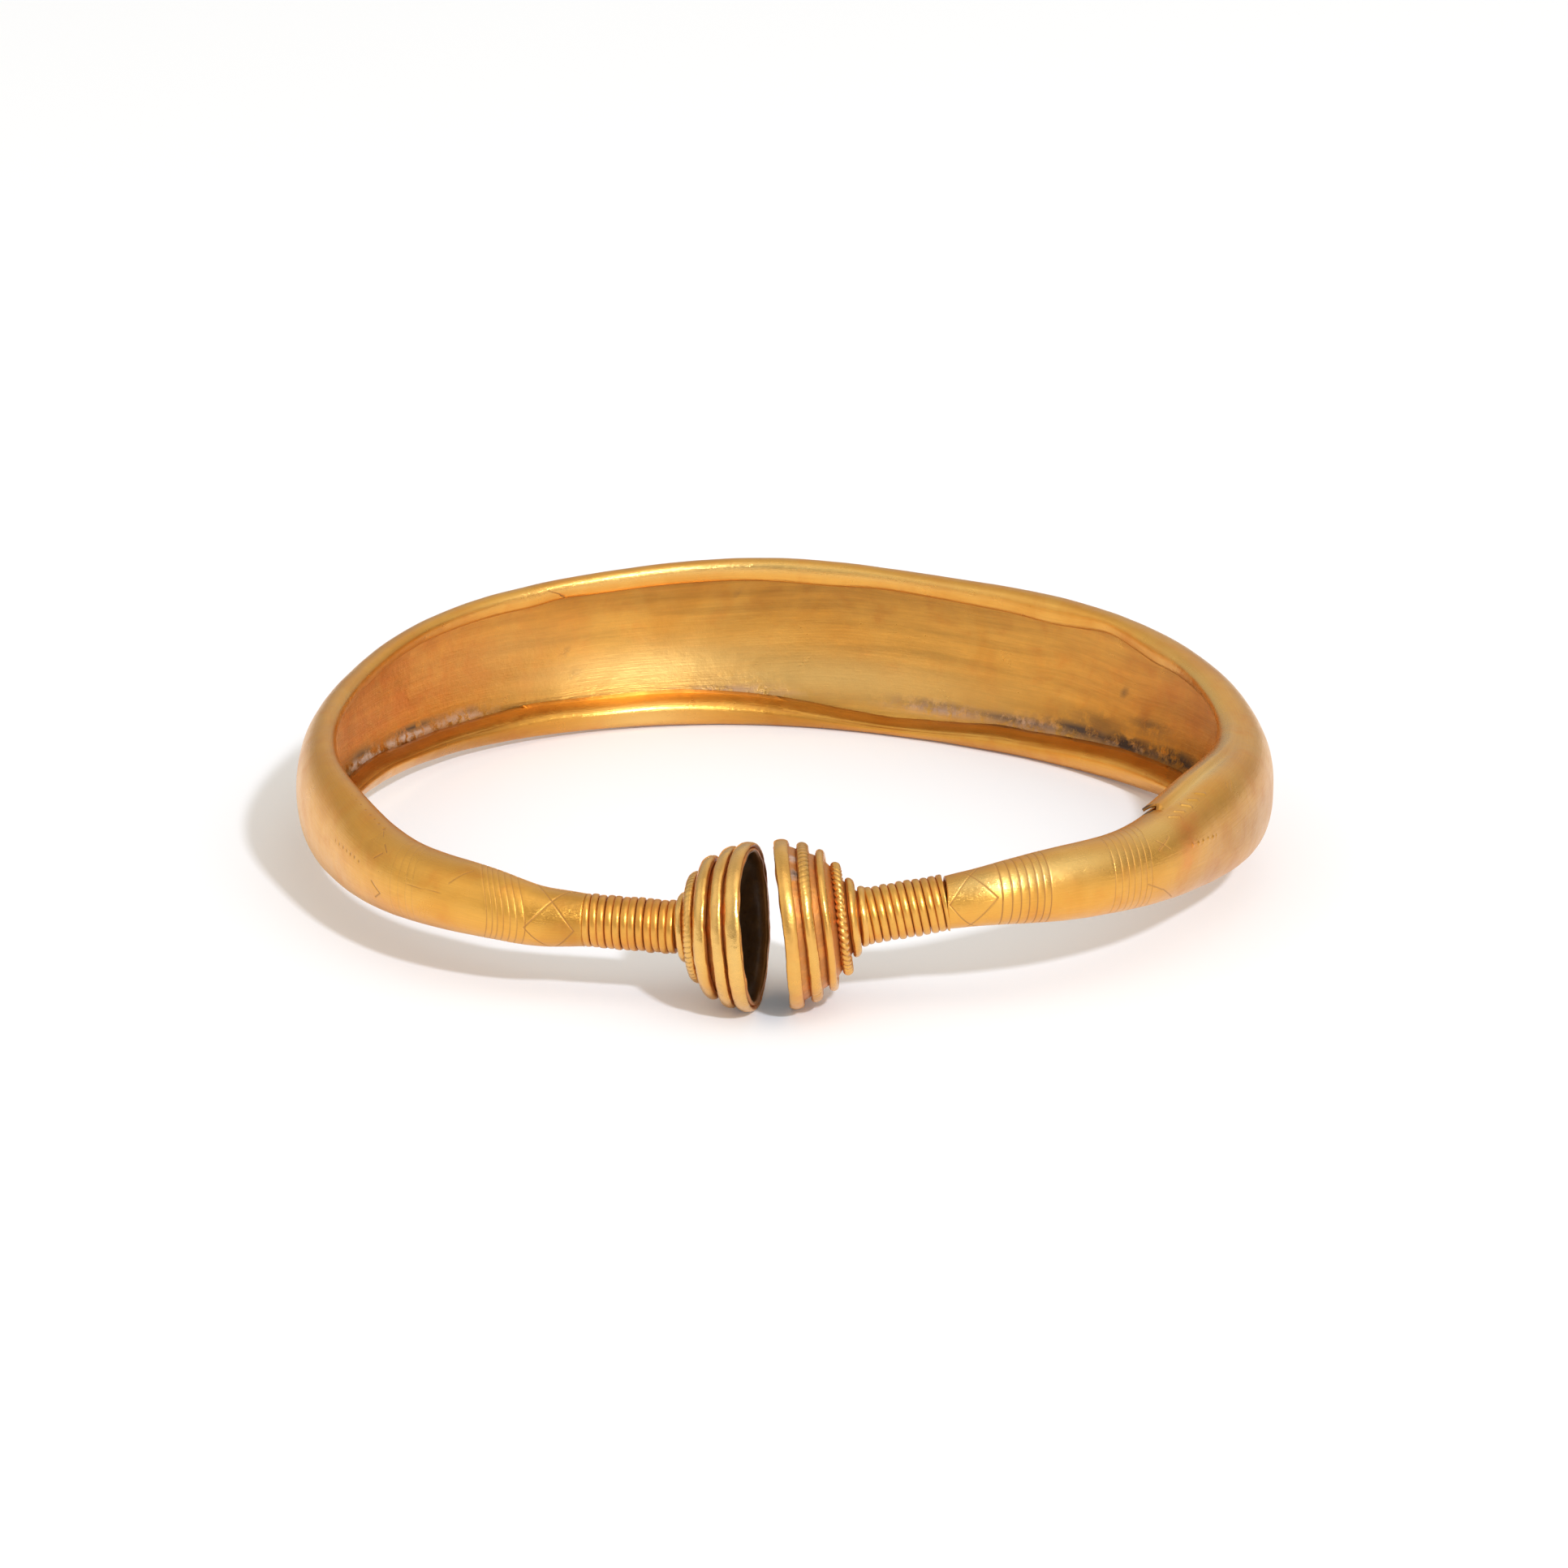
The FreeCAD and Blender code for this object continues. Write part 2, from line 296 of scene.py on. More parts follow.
# How finely the drawn lines and the broad streaks repeat, for each millimetre along and across the
# sheet, and on a cup or a wire for each metre
SHEET_LINES = (0.16, 3.2, 1.0)
SHEET_STREAKS = (0.035, 0.4, 1.0)
WIRE_LINES = (900.0, 900.0, 900.0)

# Heights of the surface's unevenness, in metres
LINE_HEIGHT = 0.00008
PATCH_HEIGHT = 0.00025
SOIL_HEIGHT = 0.00012
PIT_HEIGHT = 0.00006
WIRE_PIT_HEIGHT = 0.00005


def gold(name, tones, gloss, pit_height, on_sheet=False):
    """Worn gold: uneven colour, drawn lines and fine pits, with all that its masks lay on it, painted
    highlights and painted shade among them.
    """
    light, deep, red = tones
    make = Finish(name)
    place = make.add("ShaderNodeTexCoord").outputs["Object"]
    broad = make.grain(place, 62.0, 3.0, 0.6, 0.6)
    patches = make.grain(place, 230.0, 4.0, 0.62, 0.3)
    pits = make.grain(place, 1500.0, 3.0, 0.6)
    along = make.add("ShaderNodeUVMap", uv_map="laid_flat").outputs["UV"] if on_sheet else place
    drawn = make.stretched(along, SHEET_LINES if on_sheet else WIRE_LINES)
    lines = make.grain(drawn, 1.0, 4.0, 0.65)
    tone = make.ramp(lines, (0.3, 0.86), (0.62, 1.0))
    streaks = tone
    if on_sheet:
        swept = make.grain(make.stretched(along, SHEET_STREAKS), 1.0, 4.0, 0.6)
        streaks = make.ramp(swept, (0.34, 0.76), (0.6, 1.0))

    inside = make.mask("inside")
    polish_and_painted_highlight = make.mask("polish_and_painted_highlight")
    scored = make.mask("scored")
    copper = make.broken_mask("copper", patches, (0.35, 0.5), (0.6, 1.0))
    crust = make.broken_mask("crust", make.grain(place, 520.0, 6.0, 0.7, 0.4), (0.40, 0.0), (0.54, 1.0))
    soil_and_painted_shade = make.broken_mask("soil_and_painted_shade", make.grain(place, 420.0, 7.0, 0.72), (0.39, 0.0), (0.51, 1.0))

    colour = make.ramp(broad, (0.38, deep), (0.56, light))
    colour = make.mix(make.ramp(patches, (0.52, 0.0), (0.74, 0.55)), colour, red)
    colour = make.mix(0.55, colour, tone, "MULTIPLY")
    colour = make.mix(inside, colour, make.mix(1.0, colour, streaks, "MULTIPLY"))
    # Painted highlights and reflections: paler gold, with real polish lowering the roughness outside
    colour = make.mix(polish_and_painted_highlight, colour, PAINTED_HIGHLIGHT_GOLD)
    # Painted shade, in places age: the tone darkened
    colour = make.mix(make.mask("painted_shade_and_age"), colour, make.mix(1.0, colour, PAINTED_SHADE_AND_AGE_TONE, "MULTIPLY"))
    colour = make.mix(copper, colour, COPPER_RED)
    colour = make.mix(scored, colour, SCORED_BROWN)
    # Dark brown over a cup's inside, from just within its mouth
    colour = make.mix(make.mask("cup_inside_dark"), colour, CUP_INSIDE_BROWN)
    colour = make.mix(crust, colour, CRUST_GREY)
    # Soil, and painted shade at the strip's open end
    colour = make.mix(soil_and_painted_shade, colour, SOIL_AND_SHADE_BLACK)

    dull = make.sum("MAXIMUM", soil_and_painted_shade, make.sum("MAXIMUM", crust, make.sum("MULTIPLY", scored, 0.6)))
    roughness = make.ramp(patches, (0.3, gloss - 0.05), (0.7, gloss + 0.09))
    roughness = make.sum("ADD", roughness, make.ramp(lines, (0.3, 0.05), (0.7, 0.0)))
    polish = make.sum("MULTIPLY", polish_and_painted_highlight, make.ramp(inside, (0.0, 0.12), (1.0, 0.0)))
    roughness = make.sum("SUBTRACT", roughness, polish)
    roughness = make.sum("ADD", roughness, make.sum("MULTIPLY", dull, 0.45), True)
    metal = make.sum("SUBTRACT", 1.0, make.sum("MULTIPLY", dull, 0.85), True)

    normal = make.bump(lines, LINE_HEIGHT, 0.6)
    normal = make.bump(patches, PATCH_HEIGHT, 0.35, normal)
    normal = make.bump(pits, pit_height, 0.5, normal)
    normal = make.bump(dull, SOIL_HEIGHT, 0.6, normal)
    make.set(Base_Color=colour, Roughness=roughness, Metallic=metal, Normal=normal)
    make.set(Coat_Weight=0.3, Coat_Roughness=0.24)
    if on_sheet:
        tangent = make.add("ShaderNodeTangent", direction_type="UV_MAP", uv_map="laid_flat").outputs[0]
        make.set(Anisotropic=0.45, Anisotropic_Rotation=0.25, Tangent=tangent)
    return make.material


HOOP_GOLD = gold("hoop_gold", SHEET_TONES, 0.29, PIT_HEIGHT, on_sheet=True)
CUP_GOLD = gold("cup_gold", CUP_TONES, 0.38, PIT_HEIGHT)
RING_GOLD = gold("ring_gold", WIRE_TONES, 0.28, WIRE_PIT_HEIGHT)
BINDING_GOLD = gold("binding_gold", WIRE_TONES, 0.28, WIRE_PIT_HEIGHT)


# The sheet, scored flat and then rolled

# Places along the sheet are millimetres from the left arm's end, and places round it are degrees
# from 0 outwards through 90 upwards.


def arm_rows(terminal):
    rows = []
    for along, size in ARM_ENDS:
        middle = terminal.arm_end + terminal.neck * along
        rows.append((*middle, size, size, SEAM_LOWER_DEG, SEAM_UPPER_DEG, 2.0))
    return rows


def hoop_line():
    rows = arm_rows(LEFT)
    for across, ahead, rise, height, depth, lower, upper, square in SECTION_SHARES:
        middle = Vector((across * HOOP_WIDTH / 2, ahead * HOOP_LENGTH / 2, rise * BAND_HEIGHT))
        sizes = (height * BAND_HEIGHT, depth * SIDE_DEPTH, lower, upper, square)
        rows.append((*(middle + SETTLED), *sizes))
    rows += arm_rows(RIGHT)[::-1]
    rows = np.array(rows)
    steps = np.linalg.norm(np.diff(rows[:, :3], axis=0), axis=1)
    return Spline(np.concatenate([[0.0], np.cumsum(steps)]), rows)


HOOP_LINE = hoop_line()
SHEET_LENGTH = float(HOOP_LINE.knots[-1])
SHEET_ACROSS = 60.0

# How much deeper than its lips the band's wall bows outwards where it is tallest, and how much
# more of that it does above its middle than below
BOWL_SHARE = 0.42
BOWL_LEAN = 0.7
SIDE_SHARE = 0.13

# The heights of the section, as shares of the band's, between which that bowl, the deeper sides and
# the worked edges of the lips come in, and how square the bowl is
BOWL_HEIGHTS = (0.66, 0.95)
SIDE_HEIGHTS = (0.55, 0.64)
EDGE_HEIGHTS = (0.50, 0.78)
BOWL_SQUARE = 2.1

# How far the very edge of each lip curls back, and over what share of the way round
CURL = 1.5
CURL_REACH = 0.085

# The lower lip is hemmed instead: how far its edge turns back and down, and over what share
HEM = 3.4
HEM_DROP = 1.9
HEM_REACH = 0.07

# How much further the sheet's inside goes than its outside at both edges, for each millimetre
EDGE_SPREAD = 0.4

# The sheet's mesh: its rows, how much closer than evenly they lie at both lips, and its columns
SHEET_ROWS = 68
ROWS_GATHERED = 0.35
COLUMN = 1.0
LEAST_COLUMN = 0.08
LINE_COLUMNS = (-2.1, -1.1, -0.45, 0.45, 1.1, 2.1)

# How near a stroke or punch the mesh is split, in turn; the first time only along the sheet
FIRST_SPLIT = 0.75
FINE_SPLITS = (0.5, 0.3)

# Bands of lines scored right round the arms: where each line lies along the sheet at the front of
# the arm, and how deep
LEFT_BAND = (7.9, 8.9, 9.8, 10.7, 11.5, 12.2, 13.0)
LEFT_FAINT_BAND = (25.2, 26.5, 28.0, 29.7)
RIGHT_BAND = (356.7, 357.7, 358.7, 359.8, 360.9, 362.0, 363.2)
RIGHT_FAR_BAND = (339.6, 340.7, 341.8, 343.0, 344.1, 345.3, 346.5)
SCORE_WIDTH = 0.085
SCORE_DEPTH = 0.08
STROKE_WIDTH = 0.12
PUNCH_RADIUS = 0.28
BANDS = ((LEFT_BAND, 0.6), (RIGHT_BAND, 1.0), (RIGHT_FAR_BAND, 0.55), (LEFT_FAINT_BAND, 0.17))

# How far the lines round the sheet stray from square: place along the sheet, and millimetres
# that they have moved along it a quarter turn up or down from the front
BOWS = ((0.0, 0.0), (8.0, 2.4), (13.5, 3.4), (27.0, 2.0), (40.0, 0.0))
BOWS += ((330.0, 0.0), (338.5, -2.4), (346.0, -1.6), (357.0, -0.8), (363.5, 0.0), (372.0, 0.0))

# The crossing lines between a band and the neck: where they start and end, and the place round
# the arm of the first crossing
LATTICES = ((1.2, 8.1, 114.0), (363.8, 370.4, 14.0))
LATTICE_TURNS = 3

# Single strokes: from place to place along and round the sheet, how wide and how deep, as shares
STROKES = (
    ((16.9, 74), (18.0, 59), 0.8, 0.5),
    ((18.0, 59), (19.3, 38), 0.8, 0.5),
    ((20.1, 20), (26.6, 17), 0.6, 0.35),
    ((34.0, 60), (32.5, 50), 0.9, 0.6),
    ((33.2, 46), (34.5, 33), 1.0, 0.7),
    ((34.3, 0), (32.3, -14), 0.9, 0.7),
    ((32.3, -14), (33.9, -25), 0.9, 0.7),
    ((36.8, 80), (35.6, 70), 0.8, 0.5),
    ((337.4, 35), (334.4, 46), 1.0, 0.8),
    ((335.2, 30), (337.0, 49), 0.8, 0.6),
    ((340.5, -8), (337.0, -25), 0.8, 0.5),
    ((337.0, -24), (332.6, -52), 0.8, 0.6),
    ((313.0, 56), (314.4, 46), 0.9, 0.6),
    ((314.2, 58), (315.2, 51), 0.7, 0.5),
    ((150.4, 134), (149.2, 127), 1.4, 2.6),
    ((149.2, 127), (147.0, 117), 0.9, 1.4),
    ((331.0, 72), (329.4, 62), 2.0, -2.2),
    ((329.0, 74), (327.8, 64), 1.8, -1.9),
    ((326.6, 75), (325.6, 63), 2.0, -2.2),
    ((324.4, 74), (323.2, 65), 1.8, -1.9),
    ((321.9, 74), (320.8, 64), 2.0, -1.8),
)

# Punched dots: place along and round the sheet, radius and depth as shares
PUNCHES = (
    (49.2, 85, 1.0, 0.7),
    (47.5, 86, 1.0, 0.7),
    (45.8, 87, 1.1, 0.8),
    (44.0, 87, 1.1, 0.8),
    (42.3, 87, 1.2, 0.9),
    (40.8, 87, 1.2, 1.0),
    (39.2, 86, 1.3, 1.1),
    (37.4, 84, 1.6, 1.6),
    (46.2, 16, 1.0, 0.7),
    (44.8, 16, 1.1, 0.8),
    (43.3, 17, 1.1, 0.8),
    (42.0, 17, 1.1, 0.8),
    (40.7, 17, 1.2, 0.9),
    (39.4, 17, 1.2, 0.9),
    (38.0, 16, 1.1, 0.8),
    (329.8, 20, 1.3, -2.2),
    (328.2, 18, 1.2, -2.2),
    (326.8, 17, 1.2, -1.9),
    (325.3, 16, 1.1, -1.9),
    (323.8, 14, 1.3, -2.2),
    (322.6, 13, 1.0, -1.6),
)

# Slow waves of the lips: place along the sheet, reach, degrees the lower and the upper lip move
LIP_WAVES = (
    (246.0, 5.0, 0.0, -4.0),
    (233.0, 6.0, 0.0, 3.0),
    (258.0, 5.0, 0.0, 2.5),
    (150.0, 4.0, 0.0, -2.5),
    (193.0, 8.0, 2.0, 2.0),
    (168.0, 11.0, -1.5, 0.0),
    (146.0, 8.0, -3.0, 1.5),
    (203.0, 8.0, 3.5, -1.5),
    (222.0, 6.0, -2.0, 1.0),
    (118.0, 8.0, 2.5, -1.5),
)

# Where the upper lip lies over the arm as a raised strip, up to its open end
STRIP_START = 296.0
STRIP_END = 329.4
STRIP_EDGE_DEG = 93.0
STRIP_HEIGHT = 0.75
STRIP_SLIT = 0.5
STRIP_INNER_SHARE = 0.935

# Soil that lies all over the sheet's inside
FAINT_SOIL = 0.04

# Stains, painted shade and painted highlights on the outside (+1) and the inside (-1): mask, side,
# place, reach along and round, strength
STAINS = (
    # Painted shade, in places age: on the inner wall, at the left arm's end, along the lower lip and on
    # the right side
    ("painted_shade_and_age", -1, 190.0, 42, 50.0, 32, 1.0),
    ("painted_shade_and_age", -1, 260.0, -10, 20.0, 60, 1.0),
    ("painted_shade_and_age", -1, 240.0, -34, 24.0, 14, 0.7),
    ("painted_shade_and_age", -1, 115.0, -46, 26.0, 10, 0.6),
    ("painted_shade_and_age", 1, 2.0, 20, 3.6, 80, 0.8),
    ("painted_shade_and_age", 1, 70.0, -125, 45.0, 24, 0.8),
    ("painted_shade_and_age", 1, 131.0, -125, 20.0, 26, 1.0),
    ("painted_shade_and_age", 1, 187.0, -125, 14.0, 26, 0.8),
    ("painted_shade_and_age", 1, 218.0, -125, 16.0, 26, 0.5),
    ("painted_shade_and_age", 1, 312.0, -4, 18.0, 38, 1.0),
    ("painted_shade_and_age", 1, 322.0, -30, 14.0, 36, 0.8),
    ("painted_shade_and_age", 1, 302.0, -50, 22.0, 34, 0.7),
    # Painted highlights and reflections: paler gold on the inner wall, along the lips, on the crest and
    # on the right arm
    ("polish_and_painted_highlight", -1, 166.0, -22, 24.0, 17, 1.0),
    ("polish_and_painted_highlight", -1, 192.0, -30, 30.0, 17, 1.0),
    ("polish_and_painted_highlight", 1, 163.0, -124, 9.0, 16, 1.0),
    ("polish_and_painted_highlight", 1, 366.0, 52, 5.0, 24, 1.0),
    ("polish_and_painted_highlight", 1, 355.0, 48, 13.0, 24, 1.0),
    ("polish_and_painted_highlight", 1, 336.0, 66, 9.0, 24, 0.7),
    ("polish_and_painted_highlight", 1, 178.0, 116, 42.0, 9, 1.0),
    ("polish_and_painted_highlight", 1, 303.0, 108, 16.0, 12, 0.8),
    ("polish_and_painted_highlight", 1, 317.0, 88, 13.0, 8, 1.0),
    ("polish_and_painted_highlight", 1, 275.0, 116, 16.0, 14, 0.8),
    ("polish_and_painted_highlight", -1, 140.0, 0, 16.0, 26, 0.4),
    ("polish_and_painted_highlight", 1, 88.0, 118, 12.0, 7, 0.8),
    ("copper", 1, 330.0, 34, 2.2, 26, 0.95),
    ("copper", 1, 331.5, 8, 1.8, 14, 0.8),
    ("copper", 1, 326.5, 50, 2.5, 10, 0.5),
    # Painted shade: the dark open end of the strip
    ("soil_and_painted_shade", 1, 330.2, 120, 0.9, 12, 3.0),
    ("copper", -1, 118.0, -5, 26.0, 60, 0.7),
    ("copper", -1, 262.0, 20, 26.0, 50, 0.35),
    ("crust", -1, 108.0, -43, 9.0, 6, 1.5),
    ("crust", -1, 120.0, -42, 9.0, 5, 1.4),
    ("crust", -1, 132.0, -39, 6.0, 3.5, 1.3),
    ("soil_and_painted_shade", -1, 107.0, -35, 4.0, 4, 1.0),
    ("soil_and_painted_shade", -1, 122.0, -36, 6.0, 3, 1.1),
    ("soil_and_painted_shade", -1, 135.0, -34, 2.5, 2, 0.9),
    ("crust", -1, 178.0, -43, 9.0, 4, 0.8),
    ("crust", -1, 212.0, -45, 8.0, 5, 0.9),
    ("crust", -1, 228.0, -45, 9.0, 5, 0.9),
    ("crust", -1, 246.0, -44, 8.0, 4, 0.8),
    ("soil_and_painted_shade", -1, 178.0, -33, 9.0, 6, 0.25),
    ("soil_and_painted_shade", -1, 210.0, -42, 8.0, 4, 0.6),
    ("soil_and_painted_shade", -1, 225.0, -43, 8.0, 4, 0.8),
    ("soil_and_painted_shade", -1, 237.0, -40, 7.0, 5, 1.2),
    ("soil_and_painted_shade", -1, 246.0, -41, 7.0, 5, 1.4),
    ("soil_and_painted_shade", -1, 257.0, -40, 7.0, 6, 1.3),
    ("soil_and_painted_shade", -1, 240.0, -30, 6.0, 7, 0.4),
    ("soil_and_painted_shade", -1, 250.0, -22, 4.0, 6, 0.5),
    ("soil_and_painted_shade", -1, 179.2, 33, 0.5, 1.5, 2.5),
    ("soil_and_painted_shade", -1, 151.8, -6, 0.6, 1.6, 2.0),
    ("soil_and_painted_shade", -1, 153.5, -22, 0.5, 1.5, 1.6),
    ("soil_and_painted_shade", -1, 209.2, 11, 0.35, 0.9, 0.9),
    ("soil_and_painted_shade", -1, 215.2, 11, 0.35, 0.9, 1.1),
    ("soil_and_painted_shade", -1, 221.5, -14, 0.4, 1.0, 1.4),
    ("soil_and_painted_shade", -1, 244.0, -3, 0.35, 0.9, 2.6),
)


def lips_at(along):
    """Section numbers and slopes along the sheet, with the waves of both lips added."""
    numbers, slopes = HOOP_LINE.at(along)
    numbers = numbers.copy()
    for middle, reach, lower, upper in LIP_WAVES:
        wave = hump(middle, reach, along)
        numbers[:, 5] += lower * wave
        numbers[:, 6] += upper * wave
    return numbers, slopes


def bowed(flat):
    """Flat points whose places along the sheet follow the bows of the lines round it."""
    numbers, _ = lips_at(flat[:, 0])
    angle = np.radians(angle_round(numbers, flat[:, 1] / SHEET_ACROSS))
    places, moves = np.array(BOWS).T
    moved = flat.copy()
    moved[:, 0] += np.interp(flat[:, 0], places, moves) * (1 - np.cos(angle))
    return moved


def angle_round(numbers, across):
    """Degrees round the section, for a share of the way from the lower to the upper lip."""
    lower = numbers[:, 5] - 360
    return lower + (numbers[:, 6] - lower) * across


def roll_up(flat):
    """Rolls flat points (along, across, height over the sheet's outside) into the hoop."""
    numbers, slopes = lips_at(flat[:, 0])
    up = np.array([0.0, 0.0, 1.0])
    outward = np.cross(up, slopes[:, :3])
    outward /= np.linalg.norm(outward, axis=1)[:, None]
    from_lower = flat[:, 1] / SHEET_ACROSS
    angle = np.radians(angle_round(numbers, from_lower))
    across, upward, square = np.cos(angle), np.sin(angle), numbers[:, 7]
    height = numbers[:, 3] / BAND_HEIGHT
    tall = smooth(*BOWL_HEIGHTS, height) * (across > 0)
    side = smooth(*SIDE_HEIGHTS, height) * (across > 0)
    square = square - (square - BOWL_SQUARE) * tall
    reach = (np.abs(across) ** square + np.abs(upward) ** square) ** (-1 / square)
    bowl = 1 + BOWL_SHARE * (1 + BOWL_LEAN * upward) * tall + SIDE_SHARE * side * (1 - tall)
    out = across * reach * (numbers[:, 4] / 2 * bowl + flat[:, 2])
    rise = upward * reach * (numbers[:, 3] / 2 + flat[:, 2])
    worked = smooth(*EDGE_HEIGHTS, height)
    curl = worked * np.clip(1 - (1 - from_lower) / CURL_REACH, 0, 1) ** 2
    hem = worked * np.clip(1 - from_lower / HEM_REACH, 0, 1) ** 1.6
    out += (CURL * curl + HEM * hem) * (1 - flat[:, 2] * EDGE_SPREAD)
    rise -= HEM_DROP * hem
    return numbers[:, :3] + outward * out[:, None] + up * rise[:, None]


def sheet_columns():
    """Where the sheet's columns lie: evenly, and close together at each line right round."""
    places = list(np.arange(0, SHEET_LENGTH, COLUMN)) + [SHEET_LENGTH]
    for band, _ in BANDS:
        low, high = min(band) - 0.3, max(band) + 0.3
        places = [p for p in places if not low < p < high]
    for band, _ in BANDS:
        for line in band:
            for offset in LINE_COLUMNS:
                places.append(line + offset * SCORE_WIDTH)
        places += [min(band) - 0.5, max(band) + 0.5]
    places += [0.3, SHEET_LENGTH - 0.3]
    places += [STRIP_END - 0.15, STRIP_END, STRIP_END + STRIP_SLIT]
    places.sort()
    kept = [places[0]]
    for place in places[1:]:
        if place - kept[-1] > LEAST_COLUMN:
            kept.append(place)
    return kept


def stroke_list():
    """All strokes, with those of the lattices."""
    strokes = list(STROKES)
    for start, end, first in LATTICES:
        step = 360 / LATTICE_TURNS
        for k in range(-LATTICE_TURNS, LATTICE_TURNS + 1):
            crossing = first + k * step
            strokes.append(((start, crossing - step), (end, crossing), 1.0, 0.55))
            strokes.append(((start, crossing + step), (end, crossing), 1.0, 0.55))
    return strokes


def distance_to_stroke(along, angle, radius, start, end):
    """Millimetres from points to a stroke, measured on the sheet."""
    to_mm = math.pi / 180 * radius
    run = end[0] - start[0]
    rise = (end[1] - start[1]) * to_mm
    x = along - start[0]
    y = (angle - start[1]) * to_mm
    share = np.clip((x * run + y * rise) / (run * run + rise * rise), 0, 1)
    return np.hypot(x - share * run, y - share * rise)


def flat_numbers(flat):
    """Degrees round the section and its mean radius at flat points."""
    numbers, _ = lips_at(flat[:, 0])
    angle = angle_round(numbers, flat[:, 1] / SHEET_ACROSS)
    return angle, (numbers[:, 3] + numbers[:, 4]) / 4


def fine_distance(flat):
    """Millimetres from flat points to the nearest stroke or punch."""
    flat = bowed(flat)
    angle, radius = flat_numbers(flat)
    nearest = np.full(len(flat), 99.0)
    for start, end, _, _ in stroke_list():
        nearest = np.minimum(nearest, distance_to_stroke(flat[:, 0], angle, radius, start, end))
    for along, place, size, _ in PUNCHES:
        far = np.hypot(flat[:, 0] - along, np.radians(angle - place) * radius)
        nearest = np.minimum(nearest, far - size * PUNCH_RADIUS)
    return nearest


def scoring(unbowed, flat):
    """How deep every flat point is scored, and how much of a scored line it lies in."""
    angle, radius = flat_numbers(flat)
    depth = np.zeros(len(flat))
    seen = np.zeros(len(flat))
    for band, share in BANDS:
        for line in band:
            cut = smooth(1.05, 0.5, np.abs(unbowed[:, 0] - line) / SCORE_WIDTH)
            depth += cut * share * SCORE_DEPTH
            seen = np.maximum(seen, cut * share)
    for start, end, wide, deep in stroke_list():
        far = distance_to_stroke(flat[:, 0], angle, radius, start, end)
        cut = np.clip(1.2 - far / (wide * STROKE_WIDTH), 0, 1)
        dug = cut * deep * SCORE_DEPTH
        depth = np.where(np.abs(dug) > np.abs(depth), dug, depth)
        seen = np.maximum(seen, cut * min(1, max(deep, 0) * 1.7))
    for along, place, size, deep in PUNCHES:
        far = np.hypot(flat[:, 0] - along, np.radians(angle - place) * radius)
        cut = smooth(1, 0, far / (size * PUNCH_RADIUS))
        depth = np.where(cut > 0.02, cut * deep * SCORE_DEPTH, depth)
        seen = np.maximum(seen, cut * min(1, max(deep, 0)))
    return depth, seen


def refine(bm, reach, only_along=False):
    """Splits the faces that lie within reach of a stroke or punch."""
    faces = list(bm.faces)
    middles = np.array([f.calc_center_median()[:] for f in faces])
    near = fine_distance(middles) < reach
    edges = set()
    for face, close in zip(faces, near):
        if close:
            edges.update(face.edges)
    if only_along:
        kept = set()
        for edge in edges:
            span = edge.verts[0].co - edge.verts[1].co
            if abs(span.x) > abs(span.y) * 0.5:
                kept.add(edge)
        edges = kept
    bmesh.ops.subdivide_edges(bm, edges=list(edges), cuts=1, use_grid_fill=True)


def flat_sheet():
    """The flat sheet with its columns in place, fine where it is scored, slit at the strip's end."""
    columns = sheet_columns()
    bm = bmesh.new()
    bmesh.ops.create_grid(bm, x_segments=len(columns) - 1, y_segments=SHEET_ROWS, size=0.5)
    last = len(columns) - 1
    for vert in bm.verts:
        vert.co.x = columns[round((vert.co.x + 0.5) * last)]
        share = vert.co.y + 0.5
        gathered = share - ROWS_GATHERED * math.sin(FULL_TURN * share) / FULL_TURN
        vert.co.y = gathered * SHEET_ACROSS
    refine(bm, FIRST_SPLIT, only_along=True)
    for reach in FINE_SPLITS:
        refine(bm, reach)
    slit = []
    for face in bm.faces:
        middle = face.calc_center_median()
        if STRIP_END < middle.x < STRIP_END + STRIP_SLIT and middle.y > SHEET_ACROSS * STRIP_INNER_SHARE:
            slit.append(face)
    bmesh.ops.delete(bm, geom=slit, context="FACES")
    return bm


def strip_rise(along, angle):
    """How far the sheet is raised where the upper lip lies over the arm as a strip."""
    edge = smooth(STRIP_EDGE_DEG - 2, STRIP_EDGE_DEG + 4, angle)
    length = smooth(STRIP_START - 14, STRIP_START + 16, along) * (along <= STRIP_END + 0.01)
    return STRIP_HEIGHT * edge * length


def hoop_masks(flat, angle, outside, seen):
    """The stains, painted shade and painted highlights, the scored lines and the inside at each point of
    the sheet.
    """
    masks = {name: np.zeros(len(flat)) for name in ("soil_and_painted_shade", "crust", "copper", "painted_shade_and_age", "polish_and_painted_highlight")}
    for mask, side, along, place, run, turn, strength in STAINS:
        at_side = outside if side > 0 else ~outside
        patch = hump(along, run, flat[:, 0]) * hump(place, turn, angle) * strength
        masks[mask] = np.maximum(masks[mask], np.where(at_side, patch, 0))
    masks["soil_and_painted_shade"] = np.maximum(masks["soil_and_painted_shade"], np.where(outside, 0, FAINT_SOIL))
    masks["scored"] = np.where(outside, seen, 0)
    masks["inside"] = np.where(outside, 0.0, 1.0)
    return masks


